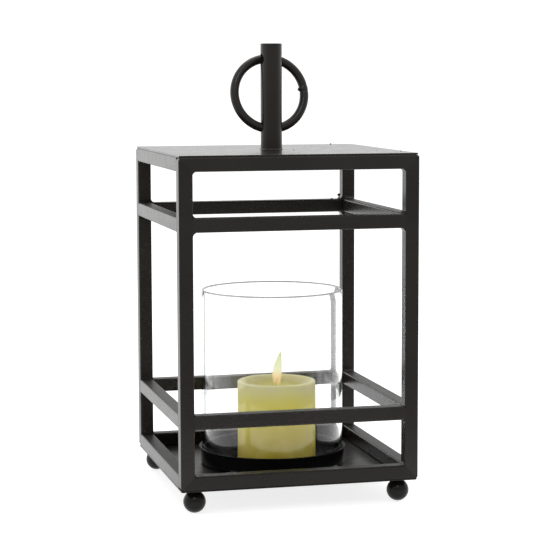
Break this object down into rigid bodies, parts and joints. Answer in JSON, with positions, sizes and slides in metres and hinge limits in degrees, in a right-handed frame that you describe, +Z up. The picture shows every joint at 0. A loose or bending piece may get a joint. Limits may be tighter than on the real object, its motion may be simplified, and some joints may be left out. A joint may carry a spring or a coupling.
{
  "type": "candle lantern",
  "caption": "Open square-tube lantern on ball feet, with a lifting ring on a round post, a shallow dish, a glass cylinder and a pillar candle.",
  "frame": {"origin": "on the floor, under the middle of the square cage, at the bottom of the ball feet", "axes": "+Z up, +X to the right of the front, +Y to the back; the ring leans on the back of its post"},
  "size_m": [0.2082, 0.2082, 0.3961],
  "materials": {
    "frame_black": "satin black powder coat on welded steel tube",
    "plate_black": "satin black powder coat on steel sheet",
    "dish_black": "semi-gloss black enamel on spun steel sheet",
    "clear_glass": "clear blown glass with fire-polished edges",
    "olive_wax": "olive yellow translucent wax",
    "wick_cotton": "braided cotton, burnt at the tip"
  },
  "bodies": {
    "frame": {"ball_foot_back_left": "frame_black", "ball_foot_back_right": "frame_black", "ball_foot_front_left": "frame_black", "ball_foot_front_right": "frame_black", "base_plate": "plate_black", "base_rail_back": "frame_black", "base_rail_front": "frame_black", "base_rail_left": "frame_black", "base_rail_right": "frame_black", "base_ring_welds": "frame_black", "candle_dish": "dish_black", "corner_post_back_left": "frame_black", "corner_post_back_right": "frame_black", "corner_post_front_left": "frame_black", "corner_post_front_right": "frame_black", "dish_tack_welds": "dish_black", "foot_welds": "frame_black", "handle_post": "frame_black", "handle_weld": "frame_black", "lower_rail_back": "frame_black", "lower_rail_front": "frame_black", "lower_rail_left": "frame_black", "lower_rail_right": "frame_black", "lower_ring_welds": "frame_black", "top_plate": "plate_black", "top_rail_back": "frame_black", "top_rail_front": "frame_black", "top_rail_left": "frame_black", "top_rail_right": "frame_black", "top_ring_welds": "frame_black", "upper_rail_back": "frame_black", "upper_rail_front": "frame_black", "upper_rail_left": "frame_black", "upper_rail_right": "frame_black", "upper_ring_welds": "frame_black"},
    "ring": {"handle_ring": "frame_black", "ring_weld": "frame_black"},
    "glass": {"glass_cylinder": "clear_glass"},
    "candle": {"candle_wax": "olive_wax", "candle_wick": "wick_cotton"}
  },
  "joints": [
    {"name": "ring_swing", "type": "hinge", "parent": "frame", "child": "ring", "pos_m": [0, 0, 0.382], "axis": [1, 0, 0], "range_deg": [0, 334.5]},
    {"name": "glass_lift", "type": "slide", "parent": "frame", "child": "glass", "axis": [0, 0, 1], "range_m": [0, 0.12]},
    {"name": "candle_lift", "type": "slide", "parent": "frame", "child": "candle", "axis": [0, 0, 1], "range_m": [0, 0.17]}
  ]
}
